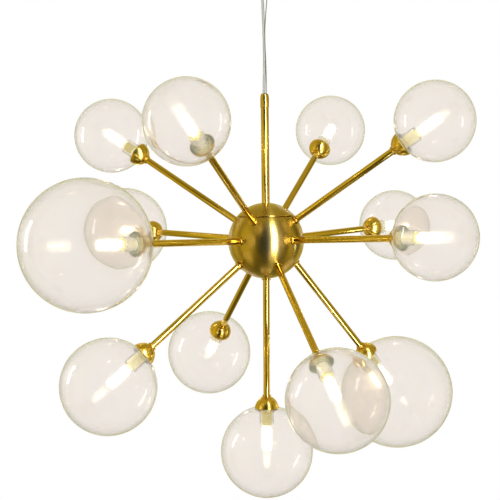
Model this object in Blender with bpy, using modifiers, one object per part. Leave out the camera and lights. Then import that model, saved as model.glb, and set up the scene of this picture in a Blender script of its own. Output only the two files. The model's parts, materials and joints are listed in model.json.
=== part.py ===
"""A thirteen-globe pendant chandelier, hung from the ceiling by a clear cable and a steel wire.

Everything is in metres with +Z up. The origin is the middle of the bracket's top face, which lies
against the ceiling, and the lamp hangs straight down from it. The front of the lamp faces -Y.
"""

import math

import bmesh
import bpy
from mathutils import Matrix, Vector

MM = 0.001
GAP = 0.3 * MM  # left between pieces that meet

# The vertical stack, from the ceiling down to the hub's centre.
CANOPY_HEIGHT = 26 * MM
GRIP_LENGTH = 12 * MM
FREE_CABLE = 165 * MM
FINIAL_LENGTH = 23 * MM
STEM_LENGTH = 152 * MM
HUB_RADIUS = 61 * MM

GRIP_Z = -(CANOPY_HEIGHT + GRIP_LENGTH)
FINIAL_TOP_Z = GRIP_Z - FREE_CABLE
STEM_TOP_Z = FINIAL_TOP_Z - FINIAL_LENGTH
HUB_Z = STEM_TOP_Z - STEM_LENGTH - HUB_RADIUS

# Ceiling fitting.
CANOPY_RADIUS = 60 * MM
CANOPY_WALL = 1.5 * MM
CANOPY_ROUNDING = 9 * MM
GRIP_RADIUS = 13 * MM
GRIP_BORE = 9.5 * MM
BRACKET_LENGTH = 104 * MM
BRACKET_WIDTH = 18 * MM
BRACKET_THICKNESS = 2.5 * MM
BRACKET_EAR = 14 * MM
BRACKET_HOLE_RADIUS = 2.3 * MM
BRACKET_HOLE_SPACING = 60 * MM

# Cable and wire. Each end stops this far inside the grip or the finial.
CABLE_INSERTION = 3 * MM
CABLE_RADIUS = 2.25 * MM
WIRE_RADIUS = 0.75 * MM

# Stem, finial and hub.
STEM_RADIUS = 6.2 * MM
STEM_BORE = 4.3 * MM
STEM_NUT_RADIUS = 9 * MM
STEM_NUT_THICKNESS = 6 * MM
FINIAL_RADIUS = 7 * MM
HUB_WALL = 2 * MM
CAP_EDGE_ELEVATION = 41.3  # degrees above the hub's equator
CAP_PROUD = 0.5 * MM
ROD_HOLE_CLEARANCE = 0.4 * MM

# Arms. Distances are along the arm, from its line's nearest point to the hub's centre.
ROD_RADIUS = 5 * MM
ROD_INNER_END = 50 * MM
LOCKNUT_RADIUS = 7 * MM
LOCKNUT_THICKNESS = 2 * MM
CUP_START = 250.5 * MM
CUP_MOUTH = 271.3 * MM
CUP_RADIUS = 18.5 * MM
CUP_SMALL_RADIUS = 6.8 * MM
CUP_WALL = 1.3 * MM
CUP_FLOOR = 255 * MM
COLLAR_LENGTH = 2.5 * MM

# Lampholder, bulb and globe.
HOLDER_RADIUS = 9.7 * MM
HOLDER_END = 298.5 * MM
BULB_BASE_RADIUS = 6 * MM
BULB_BASE_LENGTH = 4.5 * MM
BULB_RADIUS = 7.5 * MM
BULB_LENGTH = 46 * MM
GLASS_WALL = 2 * MM
NECK_DISTANCE = 271 * MM  # where the sphere is NECK_RADIUS wide
NECK_RADIUS = 14 * MM
NECK_LIP_RADIUS = 12.5 * MM
COLLAR_BORE = 10.2 * MM
COLLAR_RADIUS = 11.8 * MM
COLLAR_END = 300 * MM

SMALL_GLOBE = 125 * MM
MEDIUM_GLOBE = 150 * MM
LARGE_GLOBE = 190 * MM

# Each arm's azimuth (degrees from +X towards +Y), elevation (degrees) and globe diameter. The rods
# are set by hand in three tiers of four and one straight down.
ARMS = {
    "upper_1": (63.8, 34.0, SMALL_GLOBE),
    "upper_2": (156.7, 31.9, SMALL_GLOBE),
    "upper_3": (246.1, 33.0, SMALL_GLOBE),
    "upper_4": (338.9, 33.8, SMALL_GLOBE),
    "middle_1": (45.0, 2.4, SMALL_GLOBE),
    "middle_2": (136.7, 1.8, MEDIUM_GLOBE),
    "middle_3": (225.5, 1.5, LARGE_GLOBE),
    "middle_4": (315.7, 2.4, SMALL_GLOBE),
    "lower_1": (27.6, -49.3, LARGE_GLOBE),
    "lower_2": (112.4, -38.7, MEDIUM_GLOBE),
    "lower_3": (204.2, -38.7, MEDIUM_GLOBE),
    "lower_4": (290.8, -38.5, MEDIUM_GLOBE),
    "bottom": (110.0, -89.0, MEDIUM_GLOBE),
}

# The azimuth and elevation of the hub's holes that aren't in line with their rods: the rod of the
# lower large globe has sagged in its hole, and the others point straight out from the hub's centre.
HOLES = {"lower_1": (21.4, -35.7)}

# Routes of the cable and of the wire that crosses in front of it, from the finial up to the grip:
# millimetres from the lamp's axis in X and Y, and above the finial's top in Z.
CABLE_ROUTE = [
    (-1.0, 0.0, -3), (-1.0, 0.0, 0), (-0.9, 0.1, 7), (-0.6, 0.3, 18), (-0.2, 0.5, 30),
    (0.1, 0.7, 43), (0.2, 0.9, 57), (0.1, 0.9, 71), (-0.1, 0.9, 85), (-0.3, 0.9, 99),
    (-0.6, 0.8, 112), (-1.0, 0.6, 125), (-1.4, 0.4, 138), (-1.8, 0.2, 152), (-2.1, 0.0, 165),
    (-2.2, 0.0, 168),
]
WIRE_ROUTE = [
    (2.6, 0.0, -3), (2.6, 0.0, 0), (2.8, -0.3, 7), (2.9, -0.9, 18), (2.8, -1.5, 30),
    (2.6, -1.9, 43), (2.2, -2.2, 57), (1.6, -2.5, 71), (1.2, -2.5, 85), (1.3, -2.4, 99),
    (2.0, -2.3, 112), (3.0, -1.9, 125), (4.1, -1.4, 138), (5.4, -0.7, 152), (6.6, -0.2, 165),
    (6.9, -0.1, 168),
]

# Facets round each kind of turned piece.
GLOBE_STEPS = 16
HUB_STEPS = 20
ROD_STEPS = 10
BULB_STEPS = 8

MATERIALS = {  # colour, roughness, metallic, transmission
    "brushed_brass": ((0.60, 0.37, 0.09), 0.32, 1.0, 0.0),
    "polished_brass": ((0.66, 0.42, 0.12), 0.20, 1.0, 0.0),
    "clear_glass": ((0.96, 0.95, 0.93), 0.03, 0.0, 1.0),
    "bulb_glass": ((1.0, 0.93, 0.78), 0.15, 0.0, 0.2),
    "holder_ceramic": ((0.86, 0.84, 0.74), 0.35, 0.0, 0.0),
    "clear_pvc": ((0.84, 0.86, 0.84), 0.25, 0.0, 0.6),
    "steel_wire": ((0.62, 0.63, 0.64), 0.30, 1.0, 0.0),
    "zinc_steel": ((0.60, 0.60, 0.58), 0.45, 1.0, 0.0),
}


def make_material(name):
    colour, roughness, metallic, transmission = MATERIALS[name]
    material = bpy.data.materials.new(name)
    material.use_nodes = True
    shader = material.node_tree.nodes["Principled BSDF"]
    shader.inputs["Base Color"].default_value = (*colour, 1.0)
    shader.inputs["Roughness"].default_value = roughness
    shader.inputs["Metallic"].default_value = metallic
    shader.inputs["Transmission Weight"].default_value = transmission
    return material


def add_object(name, data, material, parent, location, collection="parts"):
    obj = bpy.data.objects.new(name, data)
    if data.materials:
        data.materials[0] = MADE[material]
    else:
        data.materials.append(MADE[material])
    obj.parent = parent
    obj.location = location
    COLLECTIONS[collection].objects.link(obj)
    return obj


def add_empty(name, parent, location, direction=None):
    """An empty, upright or with its +Z turned to point along direction."""
    empty = bpy.data.objects.new(name, None)
    empty.empty_display_size = 20 * MM
    empty.parent = parent
    empty.location = location
    if direction is not None:
        empty.rotation_mode = "QUATERNION"
        empty.rotation_quaternion = direction.to_track_quat("Z", "Y")
    COLLECTIONS["parts"].objects.link(empty)
    return empty


def arc(centre_z, radius, start, end, count):
    """Points (r, z) on a circle about the axis, from the elevation start to end in degrees."""
    angles = [math.radians(start + (end - start) * i / count) for i in range(count + 1)]
    return [(max(0.0, radius * math.cos(a)), centre_z + radius * math.sin(a)) for a in angles]


def turned(name, profile, steps, material, parent, location=(0, 0, 0)):
    """Turns the profile of (r, z) points, run down its outer side, about the local Z axis."""
    mesh = bpy.data.meshes.new(name)
    edges = [(i, i + 1) for i in range(len(profile) - 1)]
    mesh.from_pydata([(r, 0, z) for r, z in profile], edges, [])
    obj = add_object(name, mesh, material, parent, location)
    screw = obj.modifiers.new("Turn", "SCREW")
    screw.steps = screw.render_steps = steps
    screw.use_merge_vertices = True
    screw.merge_threshold = 0.00001
    screw.use_smooth_shade = True
    return obj


def closed(profile):
    return profile + profile[:1]


def mesh_from(obj):
    """The object's evaluated shape as a mesh object in its place; the object itself goes."""
    name = obj.name
    bpy.context.view_layer.update()
    graph = bpy.context.evaluated_depsgraph_get()
    mesh = bpy.data.meshes.new_from_object(obj.evaluated_get(graph))
    work = bmesh.new()
    work.from_mesh(mesh)
    bmesh.ops.remove_doubles(work, verts=work.verts, dist=0.00001)
    work.to_mesh(mesh)
    work.free()
    matrix = obj.matrix_world.copy()
    bpy.data.objects.remove(obj)
    made = bpy.data.objects.new(name, mesh)
    made.matrix_world = matrix
    COLLECTIONS["parts"].objects.link(made)
    return made


def cut(obj, cutter):
    modifier = obj.modifiers.new("Holes", "BOOLEAN")
    modifier.operation = "DIFFERENCE"
    modifier.object = cutter


def add_cutter(name, shafts, radius):
    """One object of round cutters, one for each (start, end) pair of points."""
    work = bmesh.new()
    for start, end in shafts:
        along = end - start
        turn = along.to_track_quat("Z", "Y").to_matrix().to_4x4()
        matrix = Matrix.Translation((start + end) / 2) @ turn
        bmesh.ops.create_cone(
            work, cap_ends=True, segments=ROD_STEPS, radius1=radius, radius2=radius,
            depth=along.length, matrix=matrix,
        )
    mesh = bpy.data.meshes.new(name)
    work.to_mesh(mesh)
    work.free()
    cutter = bpy.data.objects.new(name, mesh)
    cutter.hide_render = True
    cutter.display_type = "WIRE"
    COLLECTIONS["cutters"].objects.link(cutter)
    return cutter


def smooth_route(points, spacing):
    """Points about spacing apart on a Catmull-Rom curve through the given points."""
    knots = [points[0]] + points + [points[-1]]
    path = []
    for i in range(1, len(knots) - 2):
        before, start, end, after = knots[i - 1 : i + 3]
        count = max(1, round((end - start).length / spacing))
        for step in range(count):
            t = step / count
            path.append(
                (
                    2 * start + (end - before) * t
                    + (2 * before - 5 * start + 4 * end - after) * t**2
                    + (3 * start - before - 3 * end + after) * t**3
                )
                / 2
            )
    return path + [points[-1]]


def strand(name, route, radius, spacing, material, parent):
    """A cord along the route, given in millimetres from the finial's top."""
    points = [Vector((x, y, z)) * MM + Vector((0, 0, FINIAL_TOP_Z - GRIP_Z)) for x, y, z in route]
    path = smooth_route(points, spacing)
    curve = bpy.data.curves.new(name, "CURVE")
    curve.dimensions = "3D"
    curve.bevel_depth = radius
    curve.bevel_resolution = 2
    curve.use_fill_caps = True
    spline = curve.splines.new("POLY")
    spline.points.add(len(path) - 1)
    for point, place in zip(spline.points, path):
        point.co = (*place, 1)
    return add_object(name, curve, material, parent, (0, 0, 0))


def ceiling_bracket():
    """A folded strip: a flat bar under the ceiling with an ear down each end for a canopy screw."""
    half, ear, thick = BRACKET_LENGTH / 2, BRACKET_EAR, BRACKET_THICKNESS
    outline = [
        (-half, 0), (half, 0), (half, -ear), (half - thick, -ear),
        (half - thick, -thick), (-half + thick, -thick), (-half + thick, -ear), (-half, -ear),
    ]
    curve = bpy.data.curves.new("ceiling_bracket", "CURVE")
    curve.dimensions = "2D"
    curve.fill_mode = "BOTH"
    curve.extrude = BRACKET_WIDTH / 2
    spline = curve.splines.new("POLY")
    spline.points.add(len(outline) - 1)
    for point, (x, y) in zip(spline.points, outline):
        point.co = (x, y, 0, 1)
    spline.use_cyclic_u = True
    flat = add_object("ceiling_bracket", curve, "zinc_steel", None, (0, 0, 0))
    flat.rotation_euler = (math.pi / 2, 0, 0)
    bracket = mesh_from(flat)
    sides = [Vector((sign * BRACKET_HOLE_SPACING / 2, 0, 0)) for sign in (-1, 1)]
    reach = Vector((0, 0, 2 * thick))
    shafts = [(place - reach, place + reach) for place in sides]
    cut(bracket, add_cutter("bracket_hole_cutters", shafts, BRACKET_HOLE_RADIUS))


def canopy():
    """A shallow dish, open towards the ceiling, with the cable grip turned on its underside."""
    bend = CANOPY_ROUNDING
    outer_corner = [
        (r + CANOPY_RADIUS - bend, z) for r, z in arc(bend - CANOPY_HEIGHT, bend, 0, -90, 3)
    ]
    inner_bend = bend - CANOPY_WALL
    inner_corner = [
        (r + CANOPY_RADIUS - bend, z) for r, z in arc(bend - CANOPY_HEIGHT, inner_bend, -90, 0, 3)
    ]
    bore_flare = 1.5 * MM
    profile = (
        [(CANOPY_RADIUS, 0)]
        + outer_corner
        + [(GRIP_RADIUS, -CANOPY_HEIGHT), (GRIP_RADIUS, GRIP_Z + bore_flare)]
        + [(GRIP_RADIUS - bore_flare, GRIP_Z), (GRIP_BORE + bore_flare, GRIP_Z)]
        + [(GRIP_BORE, GRIP_Z + bore_flare), (GRIP_BORE, CANOPY_WALL - CANOPY_HEIGHT)]
        + inner_corner
        + [(CANOPY_RADIUS - CANOPY_WALL, 0)]
    )
    turned("canopy", closed(profile), HUB_STEPS, "brushed_brass", None)


def stem_finial(pivot):
    """A bullet-shaped cable gland on top of the stem."""
    shoulder = -FINIAL_LENGTH * 0.42
    mouth = STEM_BORE + 0.4 * MM
    dome = []
    for i in range(6):
        share = i / 5
        rise = math.sqrt(1 - (1 - share) ** 2)
        dome.append((mouth + (FINIAL_RADIUS - mouth) * rise, shoulder * share))
    bottom = GAP - FINIAL_LENGTH
    profile = dome + [(FINIAL_RADIUS, bottom), (STEM_BORE, bottom), (STEM_BORE, -CABLE_INSERTION)]
    turned("stem_finial", closed(profile), ROD_STEPS, "brushed_brass", pivot)


def stem(hub):
    """The tube between the finial and the hub, with its nut under the hub's cap."""
    top = HUB_RADIUS + STEM_LENGTH
    nut_top = HUB_RADIUS - HUB_WALL - 1.2 * MM
    profile = [
        (STEM_RADIUS, top), (STEM_RADIUS, nut_top), (STEM_NUT_RADIUS, nut_top),
        (STEM_NUT_RADIUS, nut_top - STEM_NUT_THICKNESS), (STEM_BORE, nut_top - STEM_NUT_THICKNESS),
        (STEM_BORE, top),
    ]
    turned("stem", closed(profile), ROD_STEPS, "brushed_brass", hub)


def hub_shell(hub, lines):
    """A spun ball, open at the top, drilled along the (foot, direction) lines of the thirteen rods."""
    inside = HUB_RADIUS - HUB_WALL
    profile = arc(0, inside, -90, CAP_EDGE_ELEVATION, 7)
    profile += arc(0, HUB_RADIUS, CAP_EDGE_ELEVATION, -90, 7)
    shell = turned("hub_shell", profile, HUB_STEPS, "brushed_brass", hub)
    centre = Vector((0, 0, HUB_Z))
    shafts = [
        (centre + foot + way * (inside - 6 * MM), centre + foot + way * (HUB_RADIUS + 6 * MM))
        for foot, way in lines
    ]
    cut(shell, add_cutter("rod_hole_cutters", shafts, ROD_RADIUS + ROD_HOLE_CLEARANCE))


def hub_cap(hub):
    """The lid of the hub, standing slightly proud, with a hole for the stem."""
    outside = HUB_RADIUS + CAP_PROUD
    inside = HUB_RADIUS - HUB_WALL
    edge = CAP_EDGE_ELEVATION + math.degrees(1.5 * GAP / HUB_RADIUS)
    hole = STEM_RADIUS + GAP
    top = math.degrees(math.acos(hole / outside))
    inner_top = math.degrees(math.acos(hole / inside))
    profile = arc(0, outside, top, edge, 5) + arc(0, inside, edge, inner_top, 4)
    turned("hub_cap", closed(profile), HUB_STEPS, "brushed_brass", hub)


def cup_radius(distance):
    """Outer radius of the cup at a distance along the arm: part of an ellipse."""
    depth = (CUP_MOUTH - CUP_START) / math.sqrt(1 - (CUP_SMALL_RADIUS / CUP_RADIUS) ** 2)
    return CUP_RADIUS * math.sqrt(1 - ((CUP_MOUTH - distance) / depth) ** 2)


def arm(name, axis):
    """A rod with its locknut against the hub and its spun cup at the outer end."""
    nut = HUB_RADIUS + 1.5 * GAP
    rounds = 3
    outside = [CUP_MOUTH - (CUP_MOUTH - CUP_START) * i / rounds for i in range(rounds + 1)]
    inside = [CUP_FLOOR + (CUP_MOUTH - CUP_FLOOR) * i / rounds for i in range(rounds + 1)]
    profile = (
        [(0, CUP_FLOOR)]
        + [(cup_radius(z) - CUP_WALL, z) for z in inside]
        + [(cup_radius(z), z) for z in outside]
        + [(CUP_SMALL_RADIUS, CUP_START - COLLAR_LENGTH), (ROD_RADIUS, CUP_START - COLLAR_LENGTH)]
        + [(ROD_RADIUS, nut + LOCKNUT_THICKNESS), (LOCKNUT_RADIUS, nut + LOCKNUT_THICKNESS)]
        + [(LOCKNUT_RADIUS, nut), (ROD_RADIUS, nut)]
        + [(ROD_RADIUS, ROD_INNER_END), (0, ROD_INNER_END)]
    )
    turned("arm_" + name, profile, ROD_STEPS, "polished_brass", axis)


def lampholder(name, axis):
    start = CUP_FLOOR + 1.5 * GAP
    profile = [(0, HOLDER_END), (HOLDER_RADIUS, HOLDER_END), (HOLDER_RADIUS, start), (0, start)]
    turned("lampholder_" + name, profile, ROD_STEPS, "holder_ceramic", axis)


def bulb(name, axis):
    """A small capsule bulb on its flat base; its origin is on the lampholder's face."""
    length = BULB_LENGTH - GAP
    bend = 5 * MM
    nose = [
        (r + BULB_RADIUS - bend, z) for r, z in arc(length - bend, bend, 90, 0, 3)
    ]
    profile = (
        [(0, length)]
        + nose
        + [(BULB_RADIUS, BULB_BASE_LENGTH + 2 * MM), (BULB_BASE_RADIUS, BULB_BASE_LENGTH)]
        + [(BULB_BASE_RADIUS, GAP), (0, GAP)]
    )
    turned("bulb_" + name, profile, BULB_STEPS, "bulb_glass", axis, (0, 0, HOLDER_END))


def globe(name, axis, diameter):
    """A blown globe whose glass turns back in at the neck as a collar round the lampholder."""
    outer = diameter / 2
    inner = outer - GLASS_WALL
    centre = NECK_DISTANCE + math.sqrt(outer**2 - NECK_RADIUS**2)
    lip = -math.degrees(math.acos(NECK_LIP_RADIUS / outer))
    foot = -math.degrees(math.acos(COLLAR_RADIUS / inner))
    skin = arc(0, outer, 90, lip, 6)
    collar_end = COLLAR_END - centre
    profile = (
        skin
        + [(COLLAR_BORE, skin[-1][1] + 1 * MM), (COLLAR_BORE, collar_end)]
        + [(COLLAR_RADIUS, collar_end)]
        + arc(0, inner, foot, 90, 5)
    )
    turned("globe_" + name, profile, GLOBE_STEPS, "clear_glass", axis, (0, 0, centre))


def direction(azimuth, elevation):
    flat = math.cos(math.radians(elevation))
    turn = math.radians(azimuth)
    return Vector((flat * math.cos(turn), flat * math.sin(turn), math.sin(math.radians(elevation))))


def arm_line(name):
    """An arm's foot, which is the point of its line nearest to the hub's centre, and its direction."""
    azimuth, elevation, _ = ARMS[name]
    way = direction(azimuth, elevation)
    hole = HUB_RADIUS * direction(*HOLES.get(name, (azimuth, elevation)))
    return hole - way * hole.dot(way), way


for old in list(bpy.data.objects):
    bpy.data.objects.remove(old)

COLLECTIONS = {}
for key, title in (("parts", "multi_arm_chandelier"), ("cutters", "cutters")):
    COLLECTIONS[key] = bpy.data.collections.new(title)
    bpy.context.scene.collection.children.link(COLLECTIONS[key])
MADE = {name: make_material(name) for name in MATERIALS}

ceiling_bracket()
canopy()

# The cable swings in the grip, the finial swings on the cable, and the lamp turns under the finial.
cable_pivot = add_empty("cable_swing_pivot", None, (0, 0, GRIP_Z))
lamp_pivot = add_empty("lamp_swing_pivot", cable_pivot, (0, 0, FINIAL_TOP_Z - GRIP_Z))
hub_centre = add_empty("lamp_turn_axis", lamp_pivot, (0, 0, HUB_Z - FINIAL_TOP_Z))

strand("power_cable", CABLE_ROUTE, CABLE_RADIUS, 12 * MM, "clear_pvc", cable_pivot)
strand("suspension_wire", WIRE_ROUTE, WIRE_RADIUS, 4.5 * MM, "steel_wire", cable_pivot)
stem_finial(lamp_pivot)
stem(hub_centre)
hub_shell(hub_centre, [arm_line(name) for name in ARMS])
hub_cap(hub_centre)

for arm_name, (_, _, globe_diameter) in ARMS.items():
    foot, way = arm_line(arm_name)
    arm_axis = add_empty("axis_" + arm_name, hub_centre, foot, way)
    arm(arm_name, arm_axis)
    lampholder(arm_name, arm_axis)
    bulb(arm_name, arm_axis)
    globe(arm_name, arm_axis, globe_diameter)
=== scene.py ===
"""The looks of the multi arm chandelier: smooth brass, blown glass, lit capsule bulbs, cable and wire.

Everything is in metres in the frame of the CAD model: +Z up, the origin on the ceiling, and the
lamp's front towards -Y. Distances along an arm are measured from its foot, which is the point of its
line nearest to the hub's centre.
"""

import json
import math

import bmesh
import bpy
from mathutils import Matrix, Vector


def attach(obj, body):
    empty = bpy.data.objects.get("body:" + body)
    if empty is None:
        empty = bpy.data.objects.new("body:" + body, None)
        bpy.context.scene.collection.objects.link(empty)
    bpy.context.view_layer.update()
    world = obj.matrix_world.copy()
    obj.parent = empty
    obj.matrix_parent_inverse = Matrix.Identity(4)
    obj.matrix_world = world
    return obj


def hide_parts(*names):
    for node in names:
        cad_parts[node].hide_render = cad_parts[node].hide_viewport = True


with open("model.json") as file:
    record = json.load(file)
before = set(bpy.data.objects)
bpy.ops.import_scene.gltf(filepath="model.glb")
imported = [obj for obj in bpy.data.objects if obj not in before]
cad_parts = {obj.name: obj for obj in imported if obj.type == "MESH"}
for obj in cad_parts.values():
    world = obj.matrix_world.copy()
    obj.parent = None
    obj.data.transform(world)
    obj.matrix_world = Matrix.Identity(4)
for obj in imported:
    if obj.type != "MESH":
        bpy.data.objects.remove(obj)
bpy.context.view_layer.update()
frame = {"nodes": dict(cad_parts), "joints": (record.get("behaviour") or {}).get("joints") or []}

MM = 0.001
JOINTS = {joint["name"]: joint for joint in frame["joints"]}
HUB = Vector(JOINTS["lamp_turn"]["pos_m"])
FINIAL_TOP = Vector(JOINTS["lamp_swing"]["pos_m"])
GRIP = Vector(JOINTS["cable_swing"]["pos_m"])
ARM_NAMES = [name[len("globe_"):] for name in frame["nodes"] if name.startswith("globe_")]

# Camera, as distances from the hub's centre.
CAMERA_OFFSET = Vector((-26.1, -1948.6, 100.1)) * MM
CAMERA_PITCH = 3.37  # degrees below the horizon
CAMERA_ROLL = -0.63
CAMERA_LENS = 87.1  # millimetres on a 36 mm sensor

# Cable and wire.
CABLE_RADIUS = 2.25 * MM
CORE_RADIUS = 0.65 * MM
CORE_SPREAD = 0.95 * MM
WIRE_RADIUS = 0.75 * MM
WIRE_STRANDS = 6
WIRE_LAY = 9 * MM  # the length in which a strand goes round once

# Routes of the cable and of the wire, from the finial up to the grip: millimetres from the lamp's
# axis in X and Y, and above the finial's top in Z.
CABLE_ROUTE = [
    (-1.0, 0.0, -3), (-1.0, 0.0, 0), (-0.9, 0.1, 7), (-0.6, 0.3, 18), (-0.2, 0.5, 30),
    (0.1, 0.7, 43), (0.2, 0.9, 57), (0.1, 0.9, 71), (-0.1, 0.9, 85), (-0.3, 0.9, 99),
    (-0.6, 0.8, 112), (-1.0, 0.6, 125), (-1.4, 0.4, 138), (-1.8, 0.2, 152), (-2.1, 0.0, 165),
    (-2.2, 0.0, 168),
]
WIRE_ROUTE = [
    (2.6, 0.0, -3), (2.6, 0.0, 0), (2.8, -0.3, 7), (2.9, -0.9, 18), (2.8, -1.5, 30),
    (2.6, -1.9, 43), (2.2, -2.2, 57), (1.6, -2.5, 71), (1.2, -2.5, 85), (1.3, -2.4, 99),
    (2.0, -2.3, 112), (3.0, -1.9, 125), (4.1, -1.4, 138), (5.4, -0.7, 152), (6.6, -0.2, 165),
    (6.9, -0.1, 168),
]

# Ceiling fitting.
CANOPY_HEIGHT = 26 * MM
CANOPY_RADIUS = 60 * MM
CANOPY_WALL = 1.5 * MM
CANOPY_ROUNDING = 9 * MM
GRIP_RADIUS = 13 * MM
GRIP_BORE = 9.5 * MM

# Stem, finial and hub.
STEM_LENGTH = 152 * MM
STEM_RADIUS = 6.4 * MM
STEM_BORE = 4.3 * MM
STEM_NUT_RADIUS = 9 * MM
STEM_NUT_THICKNESS = 6 * MM
FINIAL_LENGTH = 23 * MM
FINIAL_RADIUS = 7 * MM
HUB_RADIUS = 61 * MM
HUB_WALL = 2 * MM
CAP_EDGE_ELEVATION = 41.3  # degrees above the hub's equator
CAP_PROUD = 0.5 * MM
CAP_GAP = 0.45 * MM
LIP_ANGLE = 1.7  # degrees over which the ball's edge turns in below the lid
ROD_HOLE_RADIUS = 5.7 * MM

# Arms.
ROD_RADIUS = 5.3 * MM
ROD_BORE = 3.8 * MM
ROD_INNER_END = 50 * MM
LOCKNUT_RADIUS = 7.5 * MM
LOCKNUT_START = HUB_RADIUS + 0.45 * MM
LOCKNUT_THICKNESS = 2 * MM
CUP_START = 254.8 * MM
CUP_MOUTH = 273.0 * MM
CUP_RADIUS = 19.5 * MM
CUP_SMALL_RADIUS = 7.4 * MM
CUP_WALL = 1.3 * MM
CUP_FLOOR = 259.5 * MM
COLLAR_LENGTH = 3.2 * MM
COLLAR_RADIUS = 7.4 * MM

# Lampholder, bulb and globe.
HOLDER_RADIUS = 9.7 * MM
HOLDER_START = 260 * MM
HOLDER_END = 298.5 * MM
BULB_BASE_RADIUS = 6 * MM
BULB_BASE_LENGTH = 4.5 * MM
BULB_RADIUS = 7.5 * MM
BULB_LENGTH = 46 * MM
GLASS_WALL = 2 * MM
GLASS_RIPPLE = 0.09 * MM  # how far blown glass strays from a true ball
NECK_DISTANCE = 271 * MM
NECK_RADIUS = 14 * MM
SHOULDER = 273.5 * MM  # the plane in which the glass is flat round its neck
THREAD_BORE = 10.2 * MM
THREAD_RADIUS = 11.8 * MM
THREAD_PITCH = 3.1 * MM
THREAD_TOP = 1.5 * MM  # from the lampholder's end to its thread
NECK_END = 300 * MM
FILAMENT_MIDDLE = BULB_BASE_LENGTH + 19 * MM
WHITE_REACH = 10 * MM  # how far from its middle a bulb's light is white
WARM_REACH = 22 * MM  # and from where it is warmest
FILAMENT_RADIUS = 1.2 * MM
FILAMENT_SPREAD = 2.8 * MM  # from the bulb's axis to each leg

ROUND_STEPS = 64
GLOBE_STEPS = 96

# The room that the brass mirrors: its brightness at azimuths in degrees, 0 in front and 90 at +X.
ROOM_BANDS = [
    (-180, 0.70), (-150, 0.50), (-130, 0.30), (-120, 0.62), (-104, 0.60), (-98, 0.30), (-90, 0.32),
    (-84, 0.64), (-62, 0.62), (-45, 0.38), (-30, 0.16), (-22, 0.04), (2, 0.02), (7, 0.08),
    (36, 0.44), (52, 0.40), (60, 0.16), (70, 0.18), (78, 0.56), (98, 0.40), (110, 0.14),
    (122, 0.18), (132, 0.62), (150, 0.45), (180, 0.70),
]


# Making and placing meshes.


def arc(centre_r, centre_z, radius, start, end, count):
    """Points (r, z) on a circle, from the angle start to end in degrees, measured from +r to +z."""
    angles = [math.radians(start + (end - start) * i / count) for i in range(count + 1)]
    return [
        (max(0.0, centre_r + radius * math.cos(a)), centre_z + radius * math.sin(a)) for a in angles
    ]


def rounded(points, steps=4):
    """The outline (r, z), with each point that has a third number, a rounding, turned into an arc."""
    made = []
    for i, point in enumerate(points):
        here = Vector(point[:2])
        if len(point) == 2:
            made.append(tuple(here))
            continue
        before = Vector(points[i - 1][:2]) - here
        after = Vector(points[(i + 1) % len(points)][:2]) - here
        half = before.angle(after) / 2
        reach = min(point[2] / math.tan(half), 0.45 * before.length, 0.45 * after.length)
        size = reach * math.tan(half)
        middle = here + (before.normalized() + after.normalized()).normalized() * size / math.sin(half)
        start = here + before.normalized() * reach - middle
        end = here + after.normalized() * reach - middle
        sweep = math.atan2(start.x * end.y - start.y * end.x, start.dot(end))
        for step in range(steps + 1):
            made.append(tuple(middle + Matrix.Rotation(sweep * step / steps, 2) @ start))
    return made


def finished(mesh, sharp_angle=35):
    """Shades the mesh smooth and keeps its own coordinates for the materials, wherever it is placed."""
    mesh.shade_smooth()
    mesh.set_sharp_from_angle(angle=math.radians(sharp_angle))
    local = mesh.attributes.new("local", "FLOAT_VECTOR", "POINT")
    for vertex in mesh.vertices:
        local.data[vertex.index].vector = vertex.co
    return mesh


def turned_object(outline, steps, loop=True, corner_steps=4):
    """An object of the outline of (r, z) points, run down its outer side, turned about the Z axis."""
    mesh = bpy.data.meshes.new("outline")
    profile = rounded(outline, corner_steps)
    count = len(profile)
    edges = [(i, (i + 1) % count) for i in range(count if loop else count - 1)]
    mesh.from_pydata([(r, 0, z) for r, z in profile], edges, [])
    obj = bpy.data.objects.new("turned", mesh)
    bpy.context.scene.collection.objects.link(obj)
    screw = obj.modifiers.new("Turn", "SCREW")
    screw.steps = screw.render_steps = steps
    screw.use_merge_vertices = True
    screw.merge_threshold = 0.000005
    return obj


def baked(obj):
    """The object's mesh with its modifiers applied; the object itself goes."""
    bpy.context.view_layer.update()
    graph = bpy.context.evaluated_depsgraph_get()
    mesh = bpy.data.meshes.new_from_object(obj.evaluated_get(graph))
    bpy.data.objects.remove(obj)
    return mesh


def turned(outline, steps=ROUND_STEPS, loop=True, corner_steps=4, sharp_angle=35):
    """A finished mesh of the outline turned about the Z axis."""
    return finished(baked(turned_object(outline, steps, loop, corner_steps)), sharp_angle)


def dressed(obj, material, body, replaces=()):
    """Gives the object its material and its body, and hides the CAD nodes that it replaces."""
    obj.data.materials.append(MATERIALS[material])
    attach(obj, body)
    if replaces:
        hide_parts(*replaces)
    return obj


def add_piece(name, mesh, place, material, body, replaces=()):
    """An object of a copy of the mesh, moved to its place; "around" runs about its own Z axis."""
    data = mesh.copy()
    data.transform(place)
    turn = place.to_3x3()
    around = data.attributes.new("around", "FLOAT_VECTOR", "POINT")
    for vertex, local in zip(data.vertices, data.attributes["local"].data):
        x, y = local.vector.xy
        around.data[vertex.index].vector = turn @ Vector((-y, x, 0))
    obj = bpy.data.objects.new(name, data)
    bpy.context.scene.collection.objects.link(obj)
    return dressed(obj, material, body, replaces)


def smooth_route(points, spacing):
    """Points about spacing apart on a Catmull-Rom curve through the given points."""
    knots = [points[0]] + points + [points[-1]]
    path = []
    for i in range(1, len(knots) - 2):
        before, start, end, after = knots[i - 1 : i + 3]
        count = max(1, round((end - start).length / spacing))
        for step in range(count):
            t = step / count
            path.append(
                (
                    2 * start + (end - before) * t
                    + (2 * before - 5 * start + 4 * end - after) * t**2
                    + (3 * start - before - 3 * end + after) * t**3
                )
                / 2
            )
    return path + [points[-1]]


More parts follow.
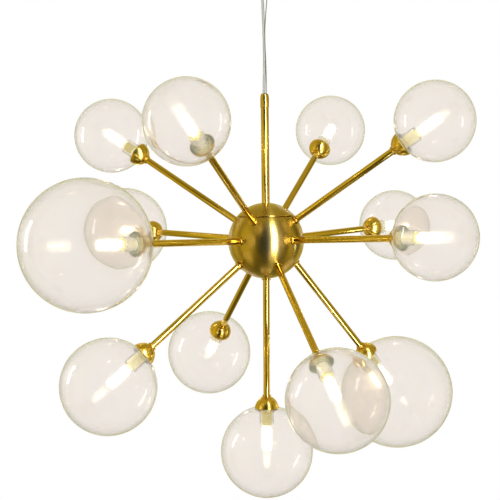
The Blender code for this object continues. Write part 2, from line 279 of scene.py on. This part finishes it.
def tube(name, path, radius, resolution=6):
    """A round tube along the path, with closed ends."""
    curve = bpy.data.curves.new(name, "CURVE")
    curve.dimensions = "3D"
    curve.bevel_depth = radius
    curve.bevel_resolution = resolution
    curve.use_fill_caps = True
    spline = curve.splines.new("POLY")
    spline.points.add(len(path) - 1)
    for point, place in zip(spline.points, path):
        point.co = (*place, 1)
    obj = bpy.data.objects.new(name, curve)
    bpy.context.scene.collection.objects.link(obj)
    return obj


# Materials. Each reads the "local" coordinates that finished() keeps, so its pattern stays on the piece.


class Nodes:
    """Short calls that add nodes to the node tree of a material or of the world."""

    def __init__(self, tree):
        self.nodes = tree.nodes
        self.links = tree.links

    def add(self, kind, **settings):
        """A new node; in_1 or in_Scale sets an input, and any other setting is the node's own."""
        node = self.nodes.new("ShaderNode" + kind)
        for key, value in settings.items():
            if key.startswith("in_"):
                node.inputs[int(key[3:]) if key[3:].isdigit() else key[3:]].default_value = value
            else:
                setattr(node, key, value)
        return node

    def link(self, source, target):
        self.links.new(source, target)

    def ranged(self, source, low, high, start=0.3, end=0.7):
        """The source's stretch from start to end mapped to low to high."""
        node = self.add("MapRange")
        for i, value in enumerate((start, end, low, high), 1):
            node.inputs[i].default_value = value
        self.link(source, node.inputs[0])
        return node.outputs[0]

    def blended(self, factor, first, second):
        """A mix of two colours, each of which is a tuple or what another node gives."""
        node = self.add("Mix", data_type="RGBA")
        for socket, colour in (("A", first), ("B", second)):
            if isinstance(colour, tuple):
                node.inputs[socket].default_value = (*colour, 1)
            else:
                self.link(colour, node.inputs[socket])
        self.link(factor, node.inputs["Factor"])
        return node.outputs["Result"]


class Shader(Nodes):
    """A new material with a Principled shader."""

    def __init__(self, name, **values):
        self.material = bpy.data.materials.new(name)
        self.material.use_nodes = True
        super().__init__(self.material.node_tree)
        self.principled = self.nodes["Principled BSDF"]
        for socket, value in values.items():
            self.principled.inputs[socket.replace("_", " ")].default_value = value

    def local(self, stretch=(1, 1, 1)):
        """The piece's own coordinates in metres, stretched."""
        place = self.add("Attribute", attribute_name="local")
        mapping = self.add("Mapping")
        mapping.inputs["Scale"].default_value = stretch
        self.link(place.outputs["Vector"], mapping.inputs["Vector"])
        return mapping.outputs["Vector"]

    def noise(self, stretch, detail=3.0):
        """Noise in the piece's own coordinates; stretch is how finely it repeats per metre."""
        node = self.add("TexNoise", in_Scale=1.0, in_Detail=detail)
        self.link(self.local(stretch), node.inputs["Vector"])
        return node.outputs["Fac"]

    def to(self, source, socket):
        """Links the source to an input of the Principled shader."""
        self.link(source, self.principled.inputs[socket])

    def bumped(self, height, distance, strength=1.0):
        """Bumps the surface by the height; distance is its relief in metres."""
        node = self.add("Bump")
        node.inputs["Distance"].default_value = distance
        node.inputs["Strength"].default_value = strength
        self.link(height, node.inputs["Height"])
        self.to(node.outputs["Normal"], "Normal")


def brass(name, colour, roughness, grain, anisotropy=0.0):
    """Lacquered brass: grain is how finely the brushing repeats per metre in the piece's X, Y and Z.

    Where it is brushed round the piece's own axis, anisotropy stretches its highlights along the axis.
    """
    shader = Shader(name, Metallic=1.0, Coat_Weight=0.6, Coat_Roughness=roughness[0])
    lines = shader.noise(grain, 3.0)
    stains = shader.noise((24, 24, 24), 2.0)
    tarnished = tuple(0.9 * c for c in colour)
    shader.to(shader.blended(shader.ranged(stains, 0.0, 1.0), colour, tarnished), "Base Color")
    shader.to(shader.ranged(lines, roughness[0], roughness[1]), "Roughness")
    if anisotropy:
        shader.principled.inputs["Anisotropic"].default_value = anisotropy
        shader.principled.inputs["Anisotropic Rotation"].default_value = 0.25
        around = shader.add("Attribute", attribute_name="around")
        tangent = shader.add("VectorTransform", convert_from="OBJECT", convert_to="WORLD")
        shader.link(around.outputs["Vector"], tangent.inputs[0])
        shader.to(tangent.outputs[0], "Tangent")
    return shader.material


def glass(name, tint):
    """Glass that lets light through to what is behind it; fine dust on it spreads a lamp's glow."""
    shader = Shader(name, Base_Color=(*tint, 1), Transmission_Weight=1.0, IOR=1.45)
    dust = shader.noise((6000, 6000, 6000), 0.0)
    shader.to(shader.ranged(dust, 0.0, 0.24, 0.62, 0.66), "Roughness")
    shader.bumped(shader.noise((28, 28, 28), 1.0), GLASS_RIPPLE)
    clear = shader.add("BsdfTransparent")
    clear.inputs["Color"].default_value = (*tint, 1)
    path = shader.add("LightPath")
    mix = shader.add("MixShader")
    shader.link(path.outputs["Is Shadow Ray"], mix.inputs[0])
    shader.link(shader.principled.outputs[0], mix.inputs[1])
    shader.link(clear.outputs[0], mix.inputs[2])
    shader.link(mix.outputs[0], shader.nodes["Material Output"].inputs["Surface"])
    return shader.material


def lit(name, middle, ends, strength, **values):
    """A lit bulb's light, whitest round the filament and warmer towards its ends."""
    shader = Shader(name, **values)
    split = shader.add("SeparateXYZ")
    shader.link(shader.local(), split.inputs[0])
    offset = shader.add("Math", operation="SUBTRACT", in_1=FILAMENT_MIDDLE)
    shader.link(split.outputs["Z"], offset.inputs[0])
    away = shader.add("Math", operation="ABSOLUTE")
    shader.link(offset.outputs[0], away.inputs[0])
    warmth = shader.ranged(away.outputs[0], 0.0, 1.0, WHITE_REACH, WARM_REACH)
    shader.to(shader.blended(warmth, middle, ends), "Emission Color")
    shader.principled.inputs["Emission Strength"].default_value = strength
    return shader.material


def ceramic(name, threaded=False):
    """Cream glazed ceramic with faint speckles, and a painted glow that stands for its bulb's light shining
    through it a little.

    On the lampholder the colour and the glow are darker in the thread's grooves: painted shade.
    """
    # Painted glow: a faint emission stands for the bulb's light shining through the ceramic.
    shader = Shader(name, Roughness=0.3, Coat_Weight=0.3, Coat_Roughness=0.12, Emission_Strength=0.56)
    if threaded:
        # Painted shade: a wave along the axis, lined up with the thread, darkens the grooves in both colour
        # and glow.
        crest = HOLDER_END - THREAD_TOP - 0.4 * THREAD_PITCH
        groove_shade_wave = shader.add("TexWave", bands_direction="Z", in_Scale=math.tau / 20 / THREAD_PITCH)
        groove_shade_wave.inputs["Phase Offset"].default_value = math.tau * (0.25 - crest / THREAD_PITCH)
        shader.link(shader.local(), groove_shade_wave.inputs["Vector"])
        tone = shader.ranged(groove_shade_wave.outputs["Fac"], 1.0, 0.0, 0.1, 0.9)
    else:
        tone = shader.ranged(shader.noise((420, 420, 420), 2.0), 0.0, 0.3, 0.45, 0.7)
    # Pale cream on the crests and the plain glaze; dark olive for the speckles and for the painted shade in
    # the grooves.
    shader.to(shader.blended(tone, (1.0, 0.96, 0.78), (0.52, 0.46, 0.14)), "Base Color")
    shader.to(shader.blended(tone, (1.0, 0.92, 0.66), (0.50, 0.41, 0.13)), "Emission Color")
    shader.bumped(shader.noise((180, 180, 180), 2.0), 0.00005)
    return shader.material


def steel(name, colour, roughness, grain):
    """Drawn or brushed pale metal; grain is how finely its lines repeat per metre in X, Y and Z."""
    shader = Shader(name, Metallic=1.0)
    lines = shader.noise(grain, 3.0)
    darker = tuple(0.72 * c for c in colour)
    shader.to(shader.blended(shader.ranged(lines, 0.0, 1.0), colour, darker), "Base Color")
    shader.to(shader.ranged(lines, roughness[0], roughness[1]), "Roughness")
    shader.bumped(lines, 0.00002, 0.4)
    return shader.material


def clear_jacket():
    """The cable's clear, faintly green jacket with a slightly dull skin."""
    shader = Shader(
        "clear_jacket", Base_Color=(0.90, 0.93, 0.91, 1), Transmission_Weight=0.82, IOR=1.5
    )
    haze = shader.noise((600, 600, 60), 2.0)
    shader.to(shader.ranged(haze, 0.06, 0.22), "Roughness")
    shader.bumped(haze, 0.00003, 0.5)
    return shader.material


def zinc():
    """Blue-white zinc plating with soft blotches; it stays on a CAD node, which has no local coordinates."""
    shader = Shader("zinc", Metallic=1.0)
    place = shader.add("TexCoord")
    blotches = shader.add("TexNoise", in_Scale=160.0, in_Detail=4.0)
    shader.link(place.outputs["Object"], blotches.inputs["Vector"])
    tone = shader.ranged(blotches.outputs["Fac"], 0.0, 1.0)
    shader.to(shader.blended(tone, (0.62, 0.63, 0.64), (0.45, 0.46, 0.46)), "Base Color")
    shader.to(shader.ranged(blotches.outputs["Fac"], 0.32, 0.5), "Roughness")
    shader.bumped(blotches.outputs["Fac"], 0.00003, 0.4)
    return shader.material


SATIN_GOLD = (0.67, 0.42, 0.035)
BRIGHT_GOLD = (0.88, 0.56, 0.05)
MATERIALS = {
    "spun_brass": brass("spun_brass", SATIN_GOLD, (0.262, 0.270), (12, 12, 400), 0.86),
    "drawn_brass": brass("drawn_brass", BRIGHT_GOLD, (0.07, 0.10), (60, 60, 6)),
    "cup_brass": brass("cup_brass", BRIGHT_GOLD, (0.19, 0.22), (30, 30, 900), 0.88),
    "turned_brass": brass("turned_brass", BRIGHT_GOLD, (0.05, 0.08), (30, 30, 900)),
    "globe_glass": glass("globe_glass", (0.943, 0.912, 0.880)),
    "neck_glass": glass("neck_glass", (0.97, 0.975, 0.94)),
    "capsule_glass": lit(
        "capsule_glass", (1.0, 0.94, 0.76), (1.0, 0.88, 0.58), 0.9,
        Base_Color=(1.0, 0.97, 0.88, 1), Transmission_Weight=0.9, Roughness=0.05, IOR=1.46,
    ),
    "filament_glow": lit(
        "filament_glow", (1.0, 0.90, 0.66), (1.0, 0.82, 0.48), 40.0,
        Base_Color=(1.0, 0.9, 0.7, 1), Roughness=0.6,
    ),
    "cup_lining": steel("cup_lining", (0.62, 0.68, 0.50), (0.22, 0.30), (60, 60, 900)),
    "threaded_ceramic": ceramic("threaded_ceramic", threaded=True),
    "ceramic": ceramic("ceramic"),
    "clear_jacket": clear_jacket(),
    "tinned_copper": steel("tinned_copper", (0.70, 0.66, 0.60), (0.25, 0.4), (900, 900, 2500)),
    "wire_steel": steel("wire_steel", (0.60, 0.61, 0.62), (0.22, 0.36), (1500, 1500, 90)),
    "zinc": zinc(),
}


# Camera and cords.


def add_camera():
    """The photo's view: a long lens a little above the hub, almost straight in front of it."""
    data = bpy.data.cameras.new("camera")
    data.lens = CAMERA_LENS
    data.sensor_width = 36
    camera = bpy.data.objects.new("camera", data)
    camera.matrix_world = (
        Matrix.Translation(HUB + CAMERA_OFFSET)
        @ Matrix.Rotation(math.radians(90 - CAMERA_PITCH), 4, "X")
        @ Matrix.Rotation(math.radians(CAMERA_ROLL), 4, "Z")
    )
    bpy.context.scene.collection.objects.link(camera)
    bpy.context.scene.camera = camera


def route(points):
    """The route's points in metres in the frame."""
    return [FINIAL_TOP + Vector(point) * MM for point in points]


def add_cable():
    """A clear jacket over two tinned conductors."""
    points = route(CABLE_ROUTE)
    path = smooth_route(points, 3 * MM)
    for side, name in ((-1, "cable_core_left"), (1, "cable_core_right")):
        aside = Vector((side * CORE_SPREAD, 0, 0))
        inset = Vector((0, 0, 0.4 * MM))
        line = [path[0] + inset] + path[1:-1] + [path[-1] - inset]
        core = tube(name, [place + aside for place in line], CORE_RADIUS, 4)
        dressed(core, "tinned_copper", "cable")
    cable = tube("cable_jacket", path, CABLE_RADIUS)
    dressed(cable, "clear_jacket", "cable", replaces=("power_cable",))


def add_wire():
    """A steel wire of strands that go round each other."""
    points = route(WIRE_ROUTE)
    path = smooth_route(points, 0.75 * MM)
    around = 4 * WIRE_STRANDS
    work = bmesh.new()
    rings = []
    along = 0.0
    for i, place in enumerate(path):
        if i:
            along += (place - path[i - 1]).length
        ahead = path[min(i + 1, len(path) - 1)] - path[max(i - 1, 0)]
        across = ahead.cross(Vector((0, 1, 0))).normalized()
        up = across.cross(ahead).normalized()
        ring = []
        for k in range(around):
            angle = math.tau * (k / around + along / WIRE_LAY)
            groove = abs(math.sin(math.pi * WIRE_STRANDS * k / around))
            radius = WIRE_RADIUS * (0.78 + 0.22 * groove**0.6)
            offset = across * math.cos(angle) + up * math.sin(angle)
            ring.append(work.verts.new(place + offset * radius))
        rings.append(ring)
    for low, high in zip(rings, rings[1:]):
        for k in range(around):
            j = (k + 1) % around
            work.faces.new((low[k], low[j], high[j], high[k]))
    work.faces.new(reversed(rings[0]))
    work.faces.new(rings[-1])
    bmesh.ops.recalc_face_normals(work, faces=work.faces)
    mesh = bpy.data.meshes.new("steel_wire")
    work.to_mesh(mesh)
    work.free()
    finished(mesh, 60)
    wire = add_piece(
        "steel_wire", mesh, Matrix(), "wire_steel", "cable", ("suspension_wire",)
    )


add_camera()
add_cable()
add_wire()


# Hub, stem and ceiling fitting.


def add_canopy():
    """The ceiling dish with the cable's grip in its middle."""
    bend, wall = CANOPY_ROUNDING, CANOPY_WALL
    middle = bend - CANOPY_HEIGHT
    bore = 1.2 * MM
    profile = (
        [(CANOPY_RADIUS - 0.3 * MM, 0), (CANOPY_RADIUS, -0.3 * MM)]
        + arc(CANOPY_RADIUS - bend, middle, bend, 0, -90, 12)
        + [(GRIP_RADIUS + 4 * MM, -CANOPY_HEIGHT), (GRIP_RADIUS, -CANOPY_HEIGHT, 1.0 * MM)]
        + [(GRIP_RADIUS, GRIP.z, 1.4 * MM), (GRIP_BORE, GRIP.z, bore), (GRIP_BORE, wall - CANOPY_HEIGHT)]
        + arc(CANOPY_RADIUS - bend, middle, bend - wall, -90, 0, 12)
        + [(CANOPY_RADIUS - wall, 0)]
    )
    add_piece(
        "canopy_dish", turned(profile, 96), Matrix(), "spun_brass",
        "ceiling_fitting", ("canopy",),
    )


def add_finial():
    """The bullet-shaped gland, with a fine groove where it screws on to the stem."""
    shoulder = -FINIAL_LENGTH * 0.42
    mouth = STEM_BORE + 0.4 * MM
    dome = []
    for i in range(15):
        share = i / 14
        rise = math.sqrt(1 - (1 - share) ** 2)
        dome.append((mouth + (FINIAL_RADIUS - mouth) * rise, shoulder * share))
    bottom = 0.3 * MM - FINIAL_LENGTH
    edge = 0.5 * MM
    profile = (
        dome
        + [(FINIAL_RADIUS, bottom + edge), (FINIAL_RADIUS - edge, bottom)]
        + [(STEM_BORE, bottom), (STEM_BORE, -3 * MM), (STEM_BORE, -0.5 * MM)]
    )
    place = Matrix.Translation(FINIAL_TOP)
    add_piece(
        "finial", turned(profile), place, "drawn_brass", "gland", ("stem_finial",)
    )


def add_stem():
    """The tube that carries the hub, with the nut under the hub's lid."""
    top = HUB_RADIUS + STEM_LENGTH
    nut_top = HUB_RADIUS - HUB_WALL - 1.2 * MM
    nut_bottom = nut_top - STEM_NUT_THICKNESS
    profile = [
        (STEM_RADIUS, top, 0.4 * MM), (STEM_RADIUS, nut_top), (STEM_NUT_RADIUS, nut_top, 0.6 * MM),
        (STEM_NUT_RADIUS, nut_bottom, 0.6 * MM), (STEM_BORE, nut_bottom), (STEM_BORE, top),
    ]
    place = Matrix.Translation(HUB)
    add_piece("stem_tube", turned(profile), place, "drawn_brass", "lamp", ("stem",))


def arm_axis(name):
    """The direction in which the arm points away from the hub."""
    return Vector(JOINTS[f"globe_{name}_unscrew"]["axis"]).normalized()


def arm_place(name):
    """The matrix whose Z runs out along the arm from its foot."""
    axis = arm_axis(name)
    foot = Vector(JOINTS[f"globe_{name}_unscrew"]["pos_m"]) - axis * NECK_DISTANCE
    return Matrix.Translation(foot) @ axis.to_track_quat("Z", "Y").to_matrix().to_4x4()


def hub_drill():
    """An object of round cutters for the rods' holes, with the hub's centre at its origin."""
    work = bmesh.new()
    for name in ARM_NAMES:
        bmesh.ops.create_cone(
            work, cap_ends=True, segments=32, radius1=ROD_HOLE_RADIUS, radius2=ROD_HOLE_RADIUS,
            depth=HUB_RADIUS * 0.3,
            matrix=Matrix.Translation(-HUB) @ arm_place(name) @ Matrix.Translation((0, 0, HUB_RADIUS)),
        )
    mesh = bpy.data.meshes.new("drill")
    work.to_mesh(mesh)
    work.free()
    drill = bpy.data.objects.new("drill", mesh)
    bpy.context.scene.collection.objects.link(drill)
    return drill


def add_hub():
    """The spun ball with its drilled holes, and the domed lid with its rolled edge."""
    place = Matrix.Translation(HUB)
    inside = HUB_RADIUS - HUB_WALL
    lip = CAP_EDGE_ELEVATION - LIP_ANGLE
    lip_top = math.radians(CAP_EDGE_ELEVATION)
    lip_radius = HUB_RADIUS - 1.4 * MM
    profile = (
        arc(0, 0, inside, -90, lip, 32)
        + [(lip_radius * math.cos(lip_top), lip_radius * math.sin(lip_top))]
        + arc(0, 0, HUB_RADIUS, lip, -90, 40)
    )
    ball = turned_object(profile, 128, loop=False)
    drill = hub_drill()
    holes = ball.modifiers.new("Holes", "BOOLEAN")
    holes.operation = "DIFFERENCE"
    holes.object = drill
    mesh = finished(baked(ball), 30)
    bpy.data.objects.remove(drill)
    add_piece("hub_ball", mesh, place, "spun_brass", "lamp", ("hub_shell",))

    outside = HUB_RADIUS + CAP_PROUD
    edge = CAP_EDGE_ELEVATION + math.degrees(CAP_GAP / HUB_RADIUS)
    hole = STEM_RADIUS + 0.3 * MM
    top = math.degrees(math.acos(hole / outside))
    inner_top = math.degrees(math.acos(hole / inside))
    roll = 1.0 * MM
    middle = edge + math.degrees(roll / outside)
    rolled = arc(
        (outside - roll) * math.cos(math.radians(middle)),
        (outside - roll) * math.sin(math.radians(middle)),
        roll, middle, middle - 90, 8,
    )
    profile = arc(0, 0, outside, top, middle, 24)[:-1] + rolled + arc(0, 0, inside, edge, inner_top, 16)
    add_piece("hub_lid", turned(profile, 128), place, "spun_brass", "lamp", ("hub_cap",))


# Arms. One mesh of each kind serves all thirteen; its Z runs out from the hub's centre.


def rod_mesh():
    """The tube from inside the hub to the cup."""
    end = CUP_START - COLLAR_LENGTH + 1.0 * MM
    profile = [
        (ROD_RADIUS, end), (ROD_RADIUS, ROD_INNER_END, 0.5 * MM), (ROD_BORE, ROD_INNER_END),
        (ROD_BORE, end),
    ]
    return turned(profile, 40)


def locknut_mesh():
    """The ring that clamps the rod against the hub."""
    bore = ROD_RADIUS + 0.05 * MM
    top = LOCKNUT_START + LOCKNUT_THICKNESS
    profile = [
        (LOCKNUT_RADIUS, top, 0.7 * MM), (LOCKNUT_RADIUS, LOCKNUT_START, 0.5 * MM),
        (bore, LOCKNUT_START), (bore, top, 0.3 * MM),
    ]
    return turned(profile, 40)


def cup_radius(distance):
    """Outer radius of the cup at a distance along the arm: a dome, flattest at its collar."""
    left = min(1, (CUP_MOUTH - distance) / (CUP_MOUTH - CUP_START))
    return CUP_SMALL_RADIUS + (CUP_RADIUS - CUP_SMALL_RADIUS) * (1 - left**1.8) ** 0.72


def cup_mesh():
    """The spun bell with its small turned collar on the rod."""
    steps = 18
    lip = 0.45 * MM
    bore = ROD_RADIUS + 0.05 * MM
    below = CUP_START - COLLAR_LENGTH
    groove = ROD_RADIUS + 0.3 * MM
    ring = CUP_START - 1.2 * MM
    outside = [CUP_MOUTH - lip - (CUP_MOUTH - lip - CUP_START) * i / steps for i in range(steps + 1)]
    inside = [CUP_FLOOR + (CUP_MOUTH - lip - CUP_FLOOR) * i / steps for i in range(steps + 1)]
    profile = (
        [(CUP_RADIUS - CUP_WALL / 2, CUP_MOUTH)]
        + [(cup_radius(z), z) for z in outside]
        + [
            (groove, CUP_START), (groove, ring), (COLLAR_RADIUS, ring, 0.5 * MM),
            (COLLAR_RADIUS, below, 0.7 * MM), (bore, below), (bore, CUP_FLOOR),
        ]
        + [(cup_radius(z) - CUP_WALL, z) for z in inside]
    )
    mesh = turned(profile, 72, sharp_angle=30)
    for face in mesh.polygons:
        distance = face.center.z
        inside = distance > CUP_FLOOR and face.center.xy.length < cup_radius(distance) - CUP_WALL / 2
        face.material_index = int(inside)
    return mesh


def holder_mesh():
    """The threaded lampholder: a body, its thread and the flat face with the recess for the bulb."""
    pitch = THREAD_PITCH
    depth = 0.9 * MM
    crest = HOLDER_RADIUS
    thread = []
    turns = 7
    start = HOLDER_END - THREAD_TOP
    for i in range(turns):
        top = start - i * pitch
        thread += [
            (crest - depth, top, 0.2 * MM), (crest, top - 0.3 * pitch, 0.25 * MM),
            (crest, top - 0.5 * pitch, 0.25 * MM), (crest - depth, top - 0.8 * pitch, 0.2 * MM),
        ]
    face = HOLDER_END - 1.0 * MM
    profile = (
        [(0, face), (BULB_BASE_RADIUS + 0.2 * MM, face, 0.2 * MM)]
        + [(BULB_BASE_RADIUS + 0.6 * MM, HOLDER_END, 0.3 * MM), (crest - 0.4 * MM, HOLDER_END, 0.4 * MM)]
        + thread
        + [(crest, start - turns * pitch, 0.2 * MM), (crest, HOLDER_START, 0.4 * MM), (0, HOLDER_START)]
    )
    return turned(profile, 48, False, 3, 40)


def bulb_base_mesh():
    """The ceramic foot that stands in the lampholder's recess."""
    length = BULB_BASE_LENGTH + 1.2 * MM
    profile = [
        (0, length), (BULB_BASE_RADIUS - 0.6 * MM, length, 0.8 * MM),
        (BULB_BASE_RADIUS, BULB_BASE_LENGTH - 0.8 * MM, 0.4 * MM), (BULB_BASE_RADIUS, 0.3 * MM, 0.3 * MM),
        (0, 0.3 * MM),
    ]
    return turned(profile, 40, loop=False)


def capsule_mesh():
    """The bulb's thin glass envelope, closed at its nose and open on its base."""
    length, bend, wall = BULB_LENGTH - 0.3 * MM, 5 * MM, 0.8 * MM
    neck = BULB_BASE_RADIUS - 0.2 * MM
    low = BULB_BASE_LENGTH + 1.4 * MM
    shoulder = low + 2.2 * MM
    across = BULB_RADIUS - bend
    profile = (
        [(0, length)]
        + arc(across, length - bend, bend, 90, 0, 10)
        + [
            (BULB_RADIUS, shoulder + 3 * MM), (BULB_RADIUS, shoulder, 1.5 * MM), (neck, low, 0.4 * MM),
            (neck - wall, low, 0.2 * MM), (BULB_RADIUS - wall, shoulder, 1.5 * MM),
            (BULB_RADIUS - wall, shoulder + 3 * MM),
        ]
        + arc(across, length - bend, bend - wall, 0, 90, 10)
        + [(0, length - wall)]
    )
    return turned(profile, 40, loop=False)


def filament_mesh():
    """The two glowing legs of the filament, side by side."""
    low, high = BULB_BASE_LENGTH + 4 * MM, BULB_LENGTH - 6 * MM
    radius = FILAMENT_RADIUS
    profile = (
        [(0, high)]
        + arc(0, high - radius, radius, 90, 0, 6)[1:]
        + arc(0, low + radius, radius, 0, -90, 6)[:-1]
        + [(0, low)]
    )
    leg = baked(turned_object(profile, 20, loop=False))
    work = bmesh.new()
    for side in (-1, 1):
        aside = leg.copy()
        aside.transform(Matrix.Translation((side * FILAMENT_SPREAD, 0, 0)))
        work.from_mesh(aside)
    both = bpy.data.meshes.new("filament")
    work.to_mesh(both)
    work.free()
    return finished(both)


def globe_outline(name):
    """(radius, centre distance) of an arm's globe, from how far its CAD node reaches."""
    axis, node = arm_axis(name), frame["nodes"]["globe_" + name]
    reach = max((vertex.co - HUB).dot(axis) for vertex in node.data.vertices) - NECK_DISTANCE
    radius = (reach**2 + NECK_RADIUS**2) / (2 * reach)
    return radius, NECK_DISTANCE + reach - radius


def globe_mesh(radius, centre):
    """Blown glass, flat round its neck, that turns back in as a threaded sleeve round the lampholder."""
    inner = radius - GLASS_WALL
    inner_flat = SHOULDER + GLASS_WALL
    shelf_radius = NECK_RADIUS + 0.2 * MM
    shelf = inner_flat + 2.4 * MM
    edge = math.degrees(math.asin((centre - SHOULDER) / radius)) - 4
    inner_edge = math.degrees(math.asin((centre - inner_flat) / inner)) - 4
    flat_radius = NECK_RADIUS + 6 * MM
    root = THREAD_RADIUS - 0.8 * MM
    thread = []
    for i in range(int((NECK_END - shelf - 3 * MM) / THREAD_PITCH)):
        top = NECK_END - 1.2 * MM - i * THREAD_PITCH
        thread += [
            (root, top, 0.4 * MM), (THREAD_RADIUS, top - 0.35 * THREAD_PITCH, 0.3 * MM),
            (THREAD_RADIUS, top - 0.55 * THREAD_PITCH, 0.3 * MM), (root, top - 0.9 * THREAD_PITCH, 0.4 * MM),
        ]
    profile = (
        arc(0, centre, radius, 90, -edge, 72)
        + [
            (flat_radius, SHOULDER + 0.1 * MM), (NECK_RADIUS + 2 * MM, SHOULDER),
            (THREAD_BORE, SHOULDER, 1.0 * MM), (THREAD_BORE, NECK_END, 0.5 * MM),
            (root, NECK_END, 0.4 * MM),
        ]
        + thread
        + [
            (root, shelf, 0.6 * MM), (shelf_radius, shelf, 0.8 * MM),
            (shelf_radius, inner_flat, 0.6 * MM), (flat_radius, inner_flat + 0.1 * MM),
        ]
        + arc(0, centre, inner, -inner_edge, 90, 72)
    )
    mesh = turned(profile, GLOBE_STEPS, loop=False, sharp_angle=40)
    for face in mesh.polygons:
        in_neck = face.center.z < NECK_END + 1 * MM and face.center.xy.length < NECK_RADIUS + 1 * MM
        face.material_index = int(in_neck)
    return mesh


def add_arms():
    """Thirteen sets of rod, locknut, cup, lampholder, bulb and globe."""
    kinds = {  # mesh, material, slot, what the CAD node's name starts with, and its body's
        "rod": (rod_mesh(), "drawn_brass", "polished_brass", "arm_", "lamp"),
        "locknut": (locknut_mesh(), "turned_brass", "polished_brass", "arm_", "lamp"),
        "cup": (cup_mesh(), "cup_brass", "polished_brass", "arm_", "lamp"),
        "holder": (holder_mesh(), "threaded_ceramic", "holder_ceramic", "lampholder_", "lamp"),
        "bulb_base": (bulb_base_mesh(), "ceramic", "bulb_glass", "bulb_", "bulb_"),
        "capsule": (capsule_mesh(), "capsule_glass", "bulb_glass", "bulb_", "bulb_"),
        "filament": (filament_mesh(), "filament_glow", "bulb_glass", "bulb_", "bulb_"),
    }
    on_holder = Matrix.Translation((0, 0, HOLDER_END))
    for name in ARM_NAMES:
        arm = arm_place(name)
        for kind, (mesh, material, slot, node, body) in kinds.items():
            on_bulb = body == "bulb_"
            place = arm @ on_holder if on_bulb else arm
            rides_on = body + name if on_bulb else body
            piece = add_piece(f"{kind}_{name}", mesh, place, material, rides_on, (node + name,))
            if kind == "cup":
                piece.data.materials.append(MATERIALS["cup_lining"])
        mesh = globe_mesh(*globe_outline(name))
        globe = "globe_" + name
        glass_piece = add_piece(
            "glass_" + name, mesh, arm, "globe_glass", globe, (globe,)
        )
        glass_piece.data.materials.append(MATERIALS["neck_glass"])


add_canopy()
add_finial()
add_stem()
add_hub()
add_arms()
frame["nodes"]["ceiling_bracket"].data.materials.clear()
frame["nodes"]["ceiling_bracket"].data.materials.append(MATERIALS["zinc"])


# Stage.


def add_floor():
    """Plain pale floor under the hanging lamp."""
    bpy.ops.mesh.primitive_plane_add(size=9, location=(0, 0, -2.6))
    floor = bpy.context.object
    floor.name = "floor"
    shader = Shader("floor_paper", Base_Color=(0.93, 0.93, 0.93, 1), Roughness=0.9)
    floor.data.materials.append(shader.material)
    floor.visible_glossy = False


def add_softbox(name, azimuth, elevation, distance, size, power, colour, pieces):
    """An area light that faces the hub and lights the pieces; azimuth 0 is in front, 90 at +X."""
    light = bpy.data.lights.new(name, "AREA")
    light.shape = "RECTANGLE"
    light.size, light.size_y = size
    light.energy = power
    light.color = colour
    turn, rise = math.radians(azimuth), math.radians(elevation)
    out = Vector((math.sin(turn) * math.cos(rise), -math.cos(turn) * math.cos(rise), math.sin(rise)))
    obj = bpy.data.objects.new(name, light)
    obj.location = HUB + out * distance
    obj.rotation_euler = out.to_track_quat("Z", "Y").to_euler()
    obj.visible_camera = False
    bpy.context.scene.collection.objects.link(obj)
    lit_pieces = bpy.data.collections.new(name + "_pieces")
    for piece in pieces:
        lit_pieces.objects.link(piece)
    obj.light_linking.receiver_collection = lit_pieces


def add_world():
    """White surroundings. What the brass and glass mirror is darker in front, as in a studio."""
    world = bpy.data.worlds.new("studio")
    bpy.context.scene.world = world
    world.use_nodes = True
    room = Nodes(world.node_tree)
    place = room.add("TexCoord")
    split = room.add("SeparateXYZ")
    room.link(place.outputs["Generated"], split.inputs[0])
    forward = room.add("Math", operation="MULTIPLY", in_1=-1)
    room.link(split.outputs["Y"], forward.inputs[0])
    azimuth = room.add("Math", operation="ARCTAN2")
    room.link(split.outputs["X"], azimuth.inputs[0])
    room.link(forward.outputs[0], azimuth.inputs[1])
    ramp = room.add("ValToRGB")
    room.link(room.ranged(azimuth.outputs[0], 0.0, 1.0, -math.pi, math.pi), ramp.inputs[0])
    elements = ramp.color_ramp.elements
    while len(elements) < len(ROOM_BANDS):
        elements.new(0.5)
    for element, (degrees, grey) in zip(elements, ROOM_BANDS):
        warm = (grey, 0.92 * grey, 0.25 * grey, 1)
        element.position = (degrees + 180) / 360
        element.color = warm if grey > 0.1 else (grey, 1.4 * grey, grey, 1)
    up = split.outputs["Z"]
    upper = room.blended(room.ranged(up, 0.0, 1.0, 0.5, 0.9), ramp.outputs[0], (0.40, 0.37, 0.14))
    whole = room.blended(room.ranged(up, 0.0, 1.0, -0.35, -0.95), upper, (0.12, 0.11, 0.04))
    path = room.add("LightPath")
    mirrored = room.add("Math", operation="SUBTRACT", use_clamp=True)
    room.link(path.outputs["Is Glossy Ray"], mirrored.inputs[0])
    room.link(path.outputs["Is Transmission Ray"], mirrored.inputs[1])
    colour = room.blended(mirrored.outputs[0], (1.0, 1.0, 1.0), whole)
    room.link(colour, room.nodes["Background"].inputs["Color"])


def pieces_of(*materials):
    """The mesh objects whose first material is one of those named."""
    return [
        obj for obj in bpy.context.scene.objects
        if obj.type == "MESH" and obj.data.materials and obj.data.materials[0].name in materials
    ]


brass_pieces = pieces_of("spun_brass", "drawn_brass", "turned_brass", "cup_brass")
glass_pieces = pieces_of("globe_glass", "capsule_glass", "ceramic", "threaded_ceramic")
add_floor()
add_world()
add_softbox("front_softbox", 25, 0, 1.3, (0.34, 3.4), 95, (0.32, 0.40, 1.0), brass_pieces)
add_softbox("right_softbox", 100, -12, 1.8, (0.10, 0.12), 1.2, (0.45, 0.55, 1.0), brass_pieces)
add_softbox("left_softbox", -98, 8, 1.8, (0.20, 0.8), 4, (1.0, 1.0, 1.0), glass_pieces)
bpy.context.scene.view_settings.view_transform = "Standard"
